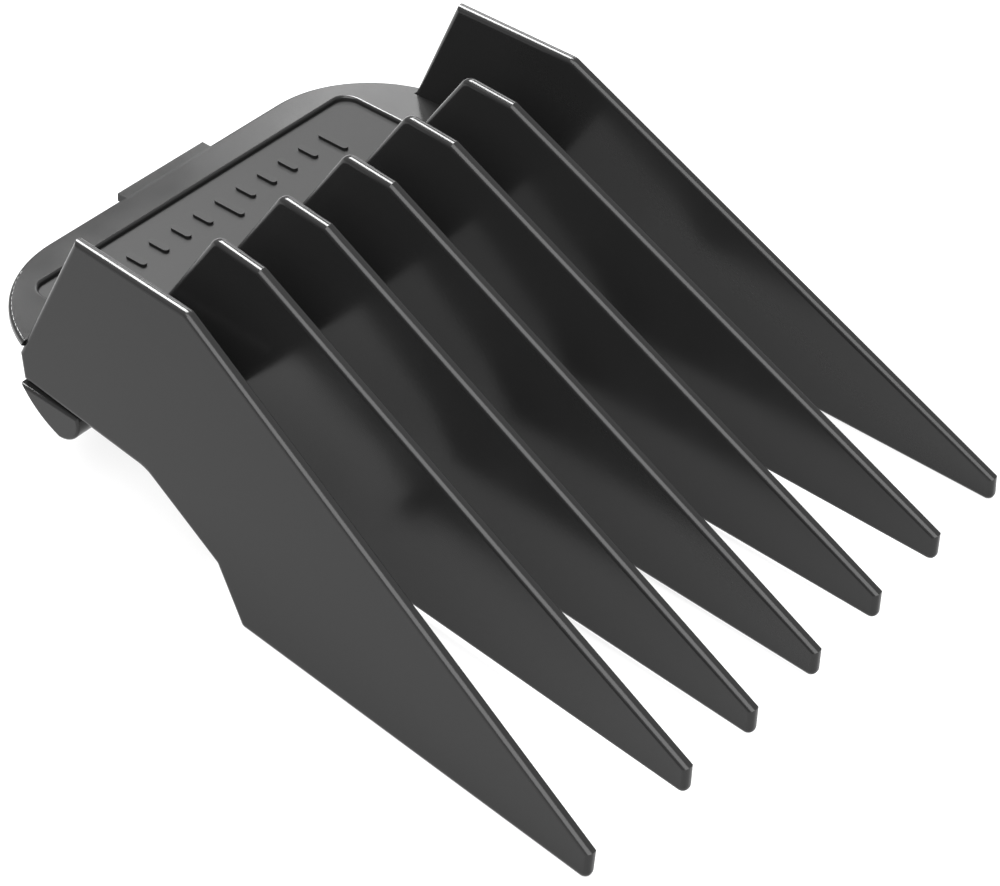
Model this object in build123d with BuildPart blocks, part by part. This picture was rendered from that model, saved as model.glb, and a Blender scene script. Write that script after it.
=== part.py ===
"""Full-size hair clipper guide comb for a 16 mm cut, with every functional member as its own solid.

Millimetres.  +Z is the skin side, +Y points to the tips of the teeth and X runs across the comb.
The origin is on the floor, under the middle of the comb's bounding box.  The comb stands on the
lower edges of its two side walls.  Side view profiles give places ahead of the bend of the skin edge.
"""
import os

from build123d import *

# ---- driving dimensions ----
overall_length = 64.6           # thumb tab to the tips of the teeth
tooth_reach = 42.5              # bend of the skin edge to the tips of the teeth
wall_reach = 41.75              # the same, on the side walls
edge_round = 0.45               # nearly full rounds, so that the comb glides over skin
bend_round = 1.0

# teeth
tooth_count = 5
tooth_pitch = 7.31              # centre to centre, at the bend
tooth_thickness = 1.0
tooth_fan = 0.021               # sideways drift per mm of length, for each pitch off centre
tooth_bend_z = 21.3
tooth_crest = (-4.5, 21.45)     # rear end of the skin edge
tooth_heel_run = 11.2           # rear foot of the teeth, forward along the heel from its rear edge
tooth_foot_z = 0.95
tooth_nose_z = 3.4              # skin edge at the tip
tooth_knee = (6.4, 5.0)         # lower edge where it drops over the front of the blade
tooth_droops = (0.5, 0.4, 0.0)  # how much lower the front of a tooth hangs, from the middle tooth outwards

# side walls
wall_thickness = 1.0
wall_half_width = 22.8          # outer face at the bend
wall_fan = 0.0535               # sideways drift per mm forward
wall_lean = 0.097               # sideways drift per mm down
wall_bend_z = 21.8
wall_crest = (-11.0, 21.45)     # rear end of the skin edge
wall_heel = (-14.85, 9.4)       # rear edge where it meets the heel
wall_heel_corner = (-14.1, 7.4)
wall_heel_round = 0.8
wall_brow = (-1.5, 7.15)        # lower edge where the blade's bevel starts
wall_knee = (6.3, 3.7)          # lower edge where the bevel steepens
wall_knee_round = 4.0
wall_nose_z = 2.3
bay_front = 9.5                 # front stop of the blade bay
nose_slant = 0.3                # the top of a nose lies this far behind its foot
nose_top_round = 1.1
nose_foot_round = 0.6

# heel
deck_rear_z = 10.35             # top of the rim at its rear edge
deck_slope = 3.5                # degrees, rising forwards
deck_length = 20.4
deck_half_width = 24.0
deck_corner_round = 10.8
deck_thickness = 1.2
deck_bevel = 1.1                # under the outer edge
rim_height = 0.4
rim_round = 0.25
recess_half_width = 18.2
recess_margin = 2.9
recess_round = 1.3
tab_width = 9.8
tab_depth = 0.7
tab_thickness = 0.7
tick_count = 11
tick_pitch = 2.5
tick_width = 0.6
tick_lengths = (2.9, 1.9)       # long and short
tick_long_every = 5
tick_height = 0.25
tick_margin = 2.1               # rear ends of the ticks, ahead of the recess's rear edge

# blade stops
stop_inner_x = 22.6
stop_length = 1.6
stop_height = 1.3
stop_root = 5.0                 # long enough to reach the wall, which trims it
stop_foot_z = 0.7
stop_round = 0.3

# snap hooks
hook_gap = 0.2                  # slit between a snap hook and the heel
hook_inner_x = 16.8
hook_cheek_x = 21.35            # the blade's corner reaches this far out
hook_outer_x = 23.65
hook_rear = -14.2               # rear end of the hook's top edge
hook_belly = (-12.85, 5.8)      # on the rear curve
hook_heel = (-10.2, 4.4)        # lowest place
hook_chin = (-8.8, 5.05)        # on the front curve
hook_front = -8.55              # front end of the hook's top edge
hook_top_z = 7.15               # the slit to the side wall lies above
hook_leg_depth = 1.4
hook_lip_top_z = 6.5            # the blade's rear edge rests on the lip
hook_round = 0.25

# ---- derived places ----
tip_y = overall_length / 2
bend_y = tip_y - tooth_reach
deck_rear_y = -overall_length / 2 + tab_depth
underside_depth = rim_height + deck_thickness
deck_plane = Plane(
    origin=(0, deck_rear_y, deck_rear_z),
    x_dir=(1, 0, 0),
    z_dir=Vector(0, 0, 1).rotate(Axis.X, deck_slope),
)
side_view = Plane(origin=(0, bend_y, 0), x_dir=(0, 1, 0), z_dir=(1, 0, 0))


def deck_point(run, depth):
    """Side view place of a point that far forward along the heel and that deep in it."""
    point = side_view.to_local_coords(deck_plane.from_local_coords(Vector(0, run, -depth)))
    return (point.X, point.Y)


def finish(builder, name):
    """Label a finished solid and write it to its own file."""
    builder.part.label = name
    export_step(builder.part, f"parts/{name}.step")


# ---- side walls ----
def wall_profile():
    """Outline of a side wall, seen from the side."""
    with BuildSketch(side_view) as profile:
        with BuildLine():
            Polyline(
                wall_heel,
                wall_crest,
                (0, wall_bend_z),
                (wall_reach - nose_slant, wall_nose_z),
                (wall_reach, 0),
                (bay_front, 0),
                wall_knee,
                wall_brow,
                wall_heel_corner,
                close=True,
            )
        make_face()
        nose_foot, nose_top = profile.vertices().sort_by(Axis.X)[-2:].sort_by(Axis.Y)
        fillet(nose_foot, nose_foot_round)
        fillet(nose_top, nose_top_round)
        bend, crest = profile.vertices().sort_by(Axis.Y)[-1:-3:-1]
        fillet(bend, bend_round)
        fillet(crest, edge_round)
        knees = [v for v in profile.vertices() if (v.X, v.Y) in (wall_knee, wall_brow)]
        fillet(knees, wall_knee_round)
        heel_corner = [v for v in profile.vertices() if (v.X, v.Y) == wall_heel_corner]
        fillet(heel_corner, wall_heel_round)
        bay_corner = [v for v in profile.vertices() if (v.X, v.Y) == (bay_front, 0)]
        fillet(bay_corner, nose_foot_round)
    return profile.sketch


def wall_plane(side, inset=0):
    """Outer face of the wall on that side, or a plane inset from it; its normal points outwards."""
    face = Plane(origin=(side * wall_half_width, bend_y, wall_bend_z), z_dir=(side, -wall_fan, wall_lean))
    return face.offset(-inset)


def side_wall(side):
    with BuildPart() as wall:
        extrude(wall_profile(), amount=2 * wall_half_width, both=True)
        split(bisect_by=wall_plane(-1), keep=Keep.BOTTOM)
        split(bisect_by=wall_plane(-1, wall_thickness), keep=Keep.TOP)
        broad_faces = wall.faces().sort_by(SortBy.AREA)[-2:]
        fillet(broad_faces.edges(), edge_round)
        if side > 0:
            mirror(about=Plane.YZ, mode=Mode.REPLACE)
    return wall


def blade_stop(side):
    """Nub inside the front corner of the blade bay, which the blade's outer tooth meets."""
    with BuildPart() as stop:
        with BuildSketch(side_view.offset(side * stop_inner_x)) as profile:
            with Locations((bay_front + stop_length / 2, stop_foot_z + stop_height / 2)):
                Rectangle(stop_length, stop_height)
            fillet(profile.vertices(), stop_round)
        extrude(amount=side * stop_root)
        split(bisect_by=wall_plane(side, wall_thickness), keep=Keep.BOTTOM)
    return stop


def wall_keepout(side):
    """Everything outboard of a wall's inner face and forward of its rear edge."""
    below_heel = (2 * wall_heel[0] - wall_crest[0], 2 * wall_heel[1] - wall_crest[1])
    with BuildPart() as keepout:
        with BuildSketch(side_view):
            with BuildLine():
                Polyline(
                    wall_crest,
                    below_heel,
                    (wall_reach, below_heel[1]),
                    (wall_reach, wall_crest[1]),
                    close=True,
                )
            make_face()
        extrude(amount=2 * wall_half_width, both=True)
        split(bisect_by=wall_plane(side, wall_thickness), keep=Keep.TOP)
    return keepout.part


# ---- teeth ----
def comb_tooth(index):
    """One inner tooth; index counts pitches from the middle, negative to the left."""
    face = Plane(
        origin=(index * tooth_pitch, bend_y, 0),
        x_dir=(index * tooth_fan, 1, 0),
        z_dir=(1, -index * tooth_fan, 0),
    )
    droop = tooth_droops[round(abs(index))]
    with BuildPart() as tooth:
        with BuildSketch(face) as profile:
            with BuildLine():
                Polyline(
                    deck_point(tooth_heel_run, rim_height),
                    tooth_crest,
                    (0, tooth_bend_z),
                    (tooth_reach - nose_slant, tooth_nose_z - droop),
                    (tooth_reach, tooth_foot_z - droop),
                    (bay_front, tooth_foot_z - droop),
                    (tooth_knee[0], tooth_knee[1] - droop),
                    deck_point(deck_length, underside_depth),
                    deck_point(deck_length, rim_height),
                    close=True,
                )
            make_face()
            nose_foot, nose_top = profile.vertices().sort_by(Axis.X)[-2:].sort_by(Axis.Y)
            fillet(nose_foot, nose_foot_round)
            fillet(nose_top, nose_top_round)
            bend, crest = profile.vertices().sort_by(Axis.Y)[-1:-3:-1]
            fillet(bend, bend_round)
            fillet(crest, edge_round)
        extrude(amount=tooth_thickness / 2, both=True)
        outline = tooth.faces().sort_by(SortBy.AREA)[-2:].edges()
        deck_front_y = bend_y + deck_point(deck_length, 0)[0]
        free_edges = [
            e for e in outline
            if e.center().Z > (tooth_bend_z + deck_rear_z) / 2 or e.center().Y > deck_front_y + edge_round
        ]
        fillet(free_edges, edge_round)
    return tooth


# ---- heel ----
def deck_outline():
    """Plan of the heel: square at the front, with two large rounded corners at the rear."""
    with BuildSketch(deck_plane) as plan:
        with Locations((0, deck_length / 2)):
            Rectangle(2 * deck_half_width, deck_length)
        corners = plan.vertices().group_by(Axis.Y)[0]
        fillet(corners, deck_corner_round)
    return plan.sketch


def recess_outline():
    """Plan of the recess in the heel, open towards the teeth."""
    run = deck_length - recess_margin
    with BuildSketch(deck_plane) as plan:
        with Locations((0, recess_margin + run / 2)):
            Rectangle(2 * recess_half_width, run)
        corners = plan.vertices().group_by(Axis.Y)[0]
        fillet(corners, recess_round)
    return plan.sketch


def heel_deck():
    """Flat floor of the heel, which the clipper blade lies against."""
    with BuildPart() as deck:
        extrude(deck_outline(), amount=-underside_depth)
        underside = deck.faces().sort_by(Axis.Z)[0]
        rear_and_sides = underside.edges().sort_by(Axis.Y)[:-1]
        chamfer(rear_and_sides, deck_bevel)
        extrude(deck_outline(), amount=-rim_height, mode=Mode.SUBTRACT)
        add(wall_keepout(1), mode=Mode.SUBTRACT)
        add(wall_keepout(-1), mode=Mode.SUBTRACT)
    return deck


def heel_rim():
    """Raised band around the rear and both sides of the recess."""
    with BuildPart() as rim:
        extrude(deck_outline(), amount=-rim_height)
        extrude(recess_outline(), amount=-rim_height, mode=Mode.SUBTRACT)
        top = rim.faces().filter_by(lambda f: f.normal_at().Z > 0.9).sort_by(SortBy.AREA)[-1]
        front_y = top.vertices().sort_by(Axis.Y)[-1].Y
        fillet([e for e in top.edges() if e.center().Y < front_y - rim_round], rim_round)
        add(wall_keepout(1), mode=Mode.SUBTRACT)
        add(wall_keepout(-1), mode=Mode.SUBTRACT)
        add(thumb_tab().part, mode=Mode.SUBTRACT)
    return rim


def thumb_tab():
    """Small lip in the middle of the heel's rear edge, to lift the comb off the blade."""
    with BuildPart() as tab:
        with BuildSketch(deck_plane):
            with Locations((0, -tab_depth / 2)):
                Rectangle(tab_width, tab_depth)
        extrude(amount=-tab_thickness)
        with BuildSketch(deck_plane):
            with Locations((0, rim_round / 2)):
                Rectangle(tab_width, rim_round)
        extrude(amount=-rim_height)
    return tab


def length_ticks():
    """Row of raised ticks on the recess floor: a plain scale in place of lettering."""
    with BuildPart() as ticks:
        for number in range(tick_count):
            tick_length = tick_lengths[0] if number % tick_long_every == 0 else tick_lengths[1]
            x = (number - (tick_count - 1) / 2) * tick_pitch
            with BuildSketch(deck_plane.offset(-rim_height)):
                with Locations((x, recess_margin + tick_margin + tick_length / 2)):
                    SlotOverall(tick_length, tick_width, rotation=90)
            extrude(amount=tick_height)
    return ticks


# ---- snap hooks ----
def snap_hook(side):
    """Springy hook under a rear corner of the heel, which catches the rear edge of the blade."""
    leg_top_z = deck_point(bend_y + hook_rear - deck_rear_y, underside_depth)[1] - hook_gap
    width = hook_outer_x - hook_inner_x
    with BuildPart() as hook:
        with BuildSketch(side_view.offset(side * hook_inner_x)):
            with BuildLine():
                ThreePointArc((hook_rear, hook_top_z), hook_belly, hook_heel)
                ThreePointArc(hook_heel, hook_chin, (hook_front, hook_top_z))
                Line((hook_front, hook_top_z), (hook_rear, hook_top_z))
            make_face()
        extrude(amount=side * width)
        outer_face = hook.faces().sort_by(Axis.X)[-1 if side > 0 else 0]
        fillet(outer_face.edges(), hook_round)
        seat_rear = hook_rear + hook_leg_depth
        with BuildSketch(side_view.offset(side * hook_inner_x)):
            with Locations((seat_rear + wall_reach / 2, hook_lip_top_z + wall_reach / 2)):
                Rectangle(wall_reach, wall_reach)
        extrude(amount=side * (hook_cheek_x - hook_inner_x), mode=Mode.SUBTRACT)
        with BuildSketch(side_view.offset(side * hook_inner_x)):
            with Locations((hook_rear + hook_leg_depth / 2, (hook_top_z + leg_top_z) / 2)):
                Rectangle(hook_leg_depth, leg_top_z - hook_top_z)
        extrude(amount=side * (hook_cheek_x - hook_inner_x))
    return hook


def main():
    os.makedirs("parts", exist_ok=True)
    finish(heel_deck(), "heel_deck")
    finish(heel_rim(), "heel_rim")
    finish(thumb_tab(), "thumb_tab")
    finish(length_ticks(), "length_ticks")
    for side, word in ((-1, "left"), (1, "right")):
        finish(side_wall(side), f"side_wall_{word}")
        finish(blade_stop(side), f"blade_stop_{word}")
        finish(snap_hook(side), f"snap_hook_{word}")
    for number in range(tooth_count):
        index = number - (tooth_count - 1) / 2
        finish(comb_tooth(index), f"comb_tooth_{number + 1}")


main()
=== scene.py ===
"""Looks of the clipper guide comb: black satin moulding on a glowing white floor.  Metres."""
import math

import bpy
from mathutils import Matrix, Vector


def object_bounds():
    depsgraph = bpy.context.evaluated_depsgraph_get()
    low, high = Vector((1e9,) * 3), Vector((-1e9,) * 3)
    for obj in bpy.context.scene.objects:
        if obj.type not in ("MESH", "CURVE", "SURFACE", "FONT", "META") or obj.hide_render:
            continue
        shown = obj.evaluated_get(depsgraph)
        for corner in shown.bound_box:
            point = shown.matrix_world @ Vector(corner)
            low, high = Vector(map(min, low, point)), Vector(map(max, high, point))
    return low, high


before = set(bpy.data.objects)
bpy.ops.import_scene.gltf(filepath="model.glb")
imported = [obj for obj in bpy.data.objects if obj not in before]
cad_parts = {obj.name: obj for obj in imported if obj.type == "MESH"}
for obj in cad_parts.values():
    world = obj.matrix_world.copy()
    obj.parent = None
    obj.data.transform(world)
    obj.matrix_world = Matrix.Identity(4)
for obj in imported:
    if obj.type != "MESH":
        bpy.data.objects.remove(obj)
cad_low, cad_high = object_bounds()

# ---- camera ----
CAMERA_AZIMUTH = math.radians(121.26)
CAMERA_ELEVATION = math.radians(41.11)
CAMERA_ROLL = math.radians(9.77)
CAMERA_DISTANCE = 0.23677
CAMERA_TARGET = Vector((0.0024, 0.00399, 0.00633))
CAMERA_LENS = 115.2

# ---- stage ----
FLOOR_SIZE = 3.0
FLOOR_GREY = 0.15
FLOOR_ROUGHNESS = 0.9
FLOOR_GLOW = 0.8                # a light table, so the comb throws hardly any shadow
WORLD_STRENGTH = 0.45

# ---- plastic ----
EDGE_HIGHLIGHT_GAIN = 1.5                      # painted highlight: corners are this much lighter
EDGE_HIGHLIGHT_RADIUS = 0.0004
EDGE_HIGHLIGHT_START = 0.98               # cosine of the turn at a corner where the painted highlight begins
EDGE_HIGHLIGHT_FULL = 0.8
GLOSS_SCALE = 140               # patches of uneven gloss in a metre
GLOSS_CONTRAST = (0.3, 0.7)
GRAIN_SIZE = 0.00035
GRAIN_HEIGHT = 0.000004
GRAIN_STRENGTH = 0.5


def direction(azimuth, elevation):
    """Unit vector from the object towards a viewer at those angles."""
    return Vector((
        math.sin(azimuth) * math.cos(elevation),
        -math.cos(azimuth) * math.cos(elevation),
        math.sin(elevation),
    ))


def make_camera():
    data = bpy.data.cameras.new("camera")
    data.lens = CAMERA_LENS
    data.clip_start = 0.01
    camera = bpy.data.objects.new("camera", data)
    bpy.context.scene.collection.objects.link(camera)
    back = direction(CAMERA_AZIMUTH, CAMERA_ELEVATION)
    turn = (-back).to_track_quat("-Z", "Y").to_matrix().to_4x4()
    roll = Matrix.Rotation(CAMERA_ROLL, 4, "Z")
    camera.matrix_world = Matrix.Translation(CAMERA_TARGET + back * CAMERA_DISTANCE) @ turn @ roll
    bpy.context.scene.camera = camera


def make_floor():
    mesh = bpy.data.meshes.new("floor")
    half = FLOOR_SIZE / 2
    corners = [(-half, -half, 0), (half, -half, 0), (half, half, 0), (-half, half, 0)]
    mesh.from_pydata(corners, [], [(0, 1, 2, 3)])
    floor = bpy.data.objects.new("floor", mesh)
    bpy.context.scene.collection.objects.link(floor)
    floor.location.z = cad_low.z
    material = bpy.data.materials.new("floor")
    material.use_nodes = True
    shader = material.node_tree.nodes["Principled BSDF"]
    shader.inputs["Base Color"].default_value = (FLOOR_GREY, FLOOR_GREY, FLOOR_GREY, 1)
    shader.inputs["Roughness"].default_value = FLOOR_ROUGHNESS
    shader.inputs["Emission Color"].default_value = (1, 1, 1, 1)
    shader.inputs["Emission Strength"].default_value = FLOOR_GLOW
    mesh.materials.append(material)


def soft_box(name, azimuth, elevation, distance, size, watts):
    """Area light that faces the object from those angles, in degrees."""
    data = bpy.data.lights.new(name, "AREA")
    data.shape = "RECTANGLE"
    data.size, data.size_y = size
    data.energy = watts
    light = bpy.data.objects.new(name, data)
    bpy.context.scene.collection.objects.link(light)
    toward = direction(math.radians(azimuth), math.radians(elevation))
    light.location = toward * distance
    light.rotation_mode = "QUATERNION"
    light.rotation_quaternion = (-toward).to_track_quat("-Z", "Y")


def make_lights():
    soft_box("key", azimuth=336, elevation=56, distance=1.0, size=(0.5, 0.45), watts=40)
    soft_box("bank", azimuth=299, elevation=28, distance=1.2, size=(0.5, 0.3), watts=3.5)
    soft_box("fill", azimuth=115, elevation=50, distance=1.0, size=(1.2, 1.0), watts=27)
    world = bpy.data.worlds.new("world")
    bpy.context.scene.world = world
    world.use_nodes = True
    background = world.node_tree.nodes["Background"]
    background.inputs["Color"].default_value = (1, 1, 1, 1)
    background.inputs["Strength"].default_value = WORLD_STRENGTH


def moulded_plastic(name, grey, shine, glossy, satin):
    """Black plastic with a fine mould grain, uneven gloss and a painted highlight that lightens
    its corners.

    Its roughness wanders between glossy and satin; shine is its specular level.
    """
    material = bpy.data.materials.new(name)
    material.use_nodes = True
    tree = material.node_tree
    shader = tree.nodes["Principled BSDF"]
    shader.inputs["Specular IOR Level"].default_value = shine
    place = tree.nodes.new("ShaderNodeTexCoord")

    gloss = tree.nodes.new("ShaderNodeTexNoise")
    gloss.inputs["Scale"].default_value = GLOSS_SCALE
    gloss.inputs["Detail"].default_value = 3
    spread = tree.nodes.new("ShaderNodeMapRange")
    spread.inputs["From Min"].default_value = GLOSS_CONTRAST[0]
    spread.inputs["From Max"].default_value = GLOSS_CONTRAST[1]
    spread.inputs["To Min"].default_value = glossy
    spread.inputs["To Max"].default_value = satin
    tree.links.new(place.outputs["Object"], gloss.inputs["Vector"])
    tree.links.new(gloss.outputs["Fac"], spread.inputs["Value"])
    tree.links.new(spread.outputs["Result"], shader.inputs["Roughness"])

    # painted highlight: the base colour is lightened along corners, where the bevelled normal
    # turns away from the face normal
    smooth_normal = tree.nodes.new("ShaderNodeBevel")
    smooth_normal.samples = 4
    smooth_normal.inputs["Radius"].default_value = EDGE_HIGHLIGHT_RADIUS
    sharp_normal = tree.nodes.new("ShaderNodeNewGeometry")
    compare = tree.nodes.new("ShaderNodeVectorMath")
    compare.operation = "DOT_PRODUCT"
    edge = tree.nodes.new("ShaderNodeMapRange")
    edge.inputs["From Min"].default_value = EDGE_HIGHLIGHT_START
    edge.inputs["From Max"].default_value = EDGE_HIGHLIGHT_FULL
    colour = tree.nodes.new("ShaderNodeMix")
    colour.data_type = "RGBA"
    colour.inputs["A"].default_value = (grey, grey, grey, 1)
    colour.inputs["B"].default_value = (EDGE_HIGHLIGHT_GAIN * grey, EDGE_HIGHLIGHT_GAIN * grey, EDGE_HIGHLIGHT_GAIN * grey, 1)
    tree.links.new(smooth_normal.outputs["Normal"], compare.inputs[0])
    tree.links.new(sharp_normal.outputs["Normal"], compare.inputs[1])
    tree.links.new(compare.outputs["Value"], edge.inputs["Value"])
    tree.links.new(edge.outputs["Result"], colour.inputs["Factor"])
    tree.links.new(colour.outputs["Result"], shader.inputs["Base Color"])

    grain = tree.nodes.new("ShaderNodeTexNoise")
    grain.inputs["Scale"].default_value = 1 / GRAIN_SIZE
    grain.inputs["Detail"].default_value = 2
    bump = tree.nodes.new("ShaderNodeBump")
    bump.inputs["Strength"].default_value = GRAIN_STRENGTH
    bump.inputs["Distance"].default_value = GRAIN_HEIGHT
    tree.links.new(place.outputs["Object"], grain.inputs["Vector"])
    tree.links.new(grain.outputs["Fac"], bump.inputs["Height"])
    tree.links.new(bump.outputs["Normal"], shader.inputs["Normal"])
    return material


polished = moulded_plastic("moulded_plastic", grey=0.01, shine=0.23, glossy=0.17, satin=0.24)
etched = moulded_plastic("etched_plastic", grey=0.007, shine=0.12, glossy=0.38, satin=0.45)
for name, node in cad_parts.items():
    node.data.materials.clear()
    node.data.materials.append(etched if name in ("heel_deck", "length_ticks") else polished)

make_camera()
make_floor()
make_lights()
bpy.context.scene.view_settings.view_transform = "Standard"
